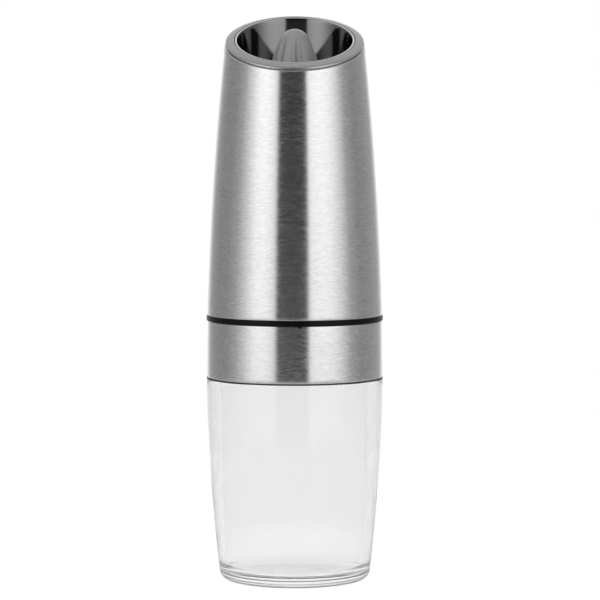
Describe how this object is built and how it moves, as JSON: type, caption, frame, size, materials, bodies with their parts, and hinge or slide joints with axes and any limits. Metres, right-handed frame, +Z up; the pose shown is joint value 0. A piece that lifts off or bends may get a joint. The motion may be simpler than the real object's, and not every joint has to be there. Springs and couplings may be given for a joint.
{
  "type": "electric pepper mill",
  "caption": "Battery pepper mill that grinds when turned over: clear spice cup, brushed steel body, slanted mirror-lined outlet and fluted grind knob.",
  "frame": {"origin": "centre of the spice cup's foot, on the table", "axes": "+Z up the mill's axis to the grinding outlet; the slanted mouth is low towards -Y and high towards +Y; +X to the right as seen from the low side"},
  "size_m": [0.0636, 0.0636, 0.2038],
  "materials": {
    "cup_clear": "frosted translucent acrylic",
    "shell_steel": "brushed round the body",
    "rim_satin": "satin",
    "liner_mirror": "mirror",
    "seam_black": "soft black",
    "gasket_black": "soft black",
    "knob_grey": "semi-translucent grey",
    "frame_black": "moulded black",
    "housing_grey": "moulded grey",
    "burr_ceramic": "unglazed white",
    "machined_steel": "machined",
    "spring_steel": "drawn wire",
    "screw_steel": "zinc plated",
    "motor_steel": "plated",
    "lamination": "stacked",
    "magnet_dark": "ferrite",
    "copper": "enamelled winding",
    "brass_part": "bare",
    "nickel_sheet": "nickel plated sheet",
    "cell_jacket": "printed jacket without words",
    "gear_white": "acetal",
    "gear_grey": "glass-filled nylon",
    "bell_plastic": "moulded",
    "damper_foam": "foam",
    "wire_red": "insulated",
    "board_green": "circuit board",
    "component_dark": "moulded"
  },
  "bodies": {
    "cup": {"spice_cup": "cup_clear"},
    "gasket": {"cup_gasket": "gasket_black"},
    "core": {"cup_socket": "frame_black", "lower_band": "shell_steel", "seam_ring": "seam_black", "core_frame": "frame_black", "sleeve_oring": "gasket_black", "battery_cells": "cell_jacket", "battery_springs": "spring_steel", "lower_contacts": "nickel_sheet", "upper_contacts": "nickel_sheet", "power_leads": "wire_red", "motor_can": "motor_steel", "motor_end_bell": "bell_plastic", "motor_bearings": "brass_part", "motor_magnets": "magnet_dark", "motor_terminals": "brass_part", "motor_damper": "damper_foam", "motor_leads": "wire_red", "gearbox_plate": "nickel_sheet", "ring_gear": "gear_grey", "gearbox_cover": "gear_grey", "output_bush": "brass_part", "stator_burr": "burr_ceramic", "grinder_housing": "housing_grey", "stator_retainer": "frame_black", "frame_screws": "screw_steel", "housing_screws": "screw_steel", "gearbox_screws": "screw_steel", "motor_screws": "screw_steel", "control_board": "board_green", "board_components": "component_dark", "tilt_switch_can": "nickel_sheet"},
    "sleeve": {"upper_sleeve": "shell_steel", "rim_ring": "rim_satin", "outlet_liner": "liner_mirror"},
    "motor_rotor": {"motor_armature": "lamination", "motor_windings": "copper", "motor_shaft": "machined_steel", "motor_commutator": "copper", "sun_gear_1": "brass_part"},
    "stage_1": {"carrier_1": "gear_grey", "carrier_1_pins": "machined_steel", "sun_gear_2": "machined_steel"},
    "output": {"carrier_2": "machined_steel", "carrier_2_pins": "machined_steel", "drive_shaft": "machined_steel", "burr_spring": "spring_steel"},
    "burr": {"rotor_burr": "burr_ceramic", "rotor_hub": "gear_grey"},
    "knob": {"adjust_knob": "knob_grey", "knob_insert": "brass_part"},
    "ball": {"tilt_ball": "machined_steel"},
    "planet_1a": {"planet_1a": "gear_white"},
    "planet_2a": {"planet_2a": "gear_white"},
    "planet_1b": {"planet_1b": "gear_white"},
    "planet_2b": {"planet_2b": "gear_white"},
    "planet_1c": {"planet_1c": "gear_white"},
    "planet_2c": {"planet_2c": "gear_white"}
  },
  "joints": [
    {"name": "body_turn", "type": "hinge", "parent": "cup", "child": "gasket", "pos_m": [0, 0, 0.0729], "axis": [0, 0, 1], "range_deg": [0, 1080]},
    {"name": "body_lift", "type": "slide", "parent": "gasket", "child": "core", "axis": [0, 0, 1], "range_m": [0, 0.0121]},
    {"name": "sleeve_pull", "type": "slide", "parent": "core", "child": "sleeve", "axis": [0, 0, 1], "range_m": [0, 0.115]},
    {"name": "motor_spin", "type": "hinge", "parent": "core", "child": "motor_rotor", "pos_m": [0, 0, 0.11], "axis": [0, 0, 1], "continuous": true},
    {"name": "carrier_1_spin", "type": "hinge", "parent": "core", "child": "stage_1", "pos_m": [0, 0, 0.134], "axis": [0, 0, 1], "continuous": true},
    {"name": "output_spin", "type": "hinge", "parent": "core", "child": "output", "pos_m": [0, 0, 0.147], "axis": [0, 0, 1], "continuous": true},
    {"name": "burr_shift", "type": "slide", "parent": "output", "child": "burr", "axis": [0, 0, 1], "range_m": [-0.0004, 0.0008], "deforming": ["burr_spring"]},
    {"name": "knob_turn", "type": "hinge", "parent": "burr", "child": "knob", "pos_m": [0, 0, 0.18], "axis": [0, 0, 1], "range_deg": [-181, 361]},
    {"name": "tilt_roll", "type": "slide", "parent": "core", "child": "ball", "axis": [0, 0, 1], "range_m": [0, 0.0023]},
    {"name": "planet_1a_spin", "type": "hinge", "parent": "stage_1", "child": "planet_1a", "pos_m": [0.00675, 0, 0.13], "axis": [0, 0, 1], "continuous": true},
    {"name": "planet_2a_spin", "type": "hinge", "parent": "output", "child": "planet_2a", "pos_m": [0.00675, 0, 0.138], "axis": [0, 0, 1], "continuous": true},
    {"name": "planet_1b_spin", "type": "hinge", "parent": "stage_1", "child": "planet_1b", "pos_m": [-0.00337, 0.00585, 0.13], "axis": [0, 0, 1], "continuous": true},
    {"name": "planet_2b_spin", "type": "hinge", "parent": "output", "child": "planet_2b", "pos_m": [-0.00337, 0.00585, 0.138], "axis": [0, 0, 1], "continuous": true},
    {"name": "planet_1c_spin", "type": "hinge", "parent": "stage_1", "child": "planet_1c", "pos_m": [-0.00337, -0.00585, 0.13], "axis": [0, 0, 1], "continuous": true},
    {"name": "planet_2c_spin", "type": "hinge", "parent": "output", "child": "planet_2c", "pos_m": [-0.00337, -0.00585, 0.138], "axis": [0, 0, 1], "continuous": true}
  ],
  "couplings": [
    {"joint": "body_lift", "follows": "body_turn", "m_per_rad": 0.00063662},
    {"joint": "carrier_1_spin", "follows": "motor_spin", "ratio": 0.22222},
    {"joint": "output_spin", "follows": "motor_spin", "ratio": 0.049383},
    {"joint": "knob_turn", "follows": "burr_shift", "rad_per_m": 7854},
    {"joint": "planet_1a_spin", "follows": "motor_spin", "ratio": -0.62222},
    {"joint": "planet_2a_spin", "follows": "motor_spin", "ratio": -0.13827},
    {"joint": "planet_1b_spin", "follows": "motor_spin", "ratio": -0.62222},
    {"joint": "planet_2b_spin", "follows": "motor_spin", "ratio": -0.13827},
    {"joint": "planet_1c_spin", "follows": "motor_spin", "ratio": -0.62222},
    {"joint": "planet_2c_spin", "follows": "motor_spin", "ratio": -0.13827}
  ]
}
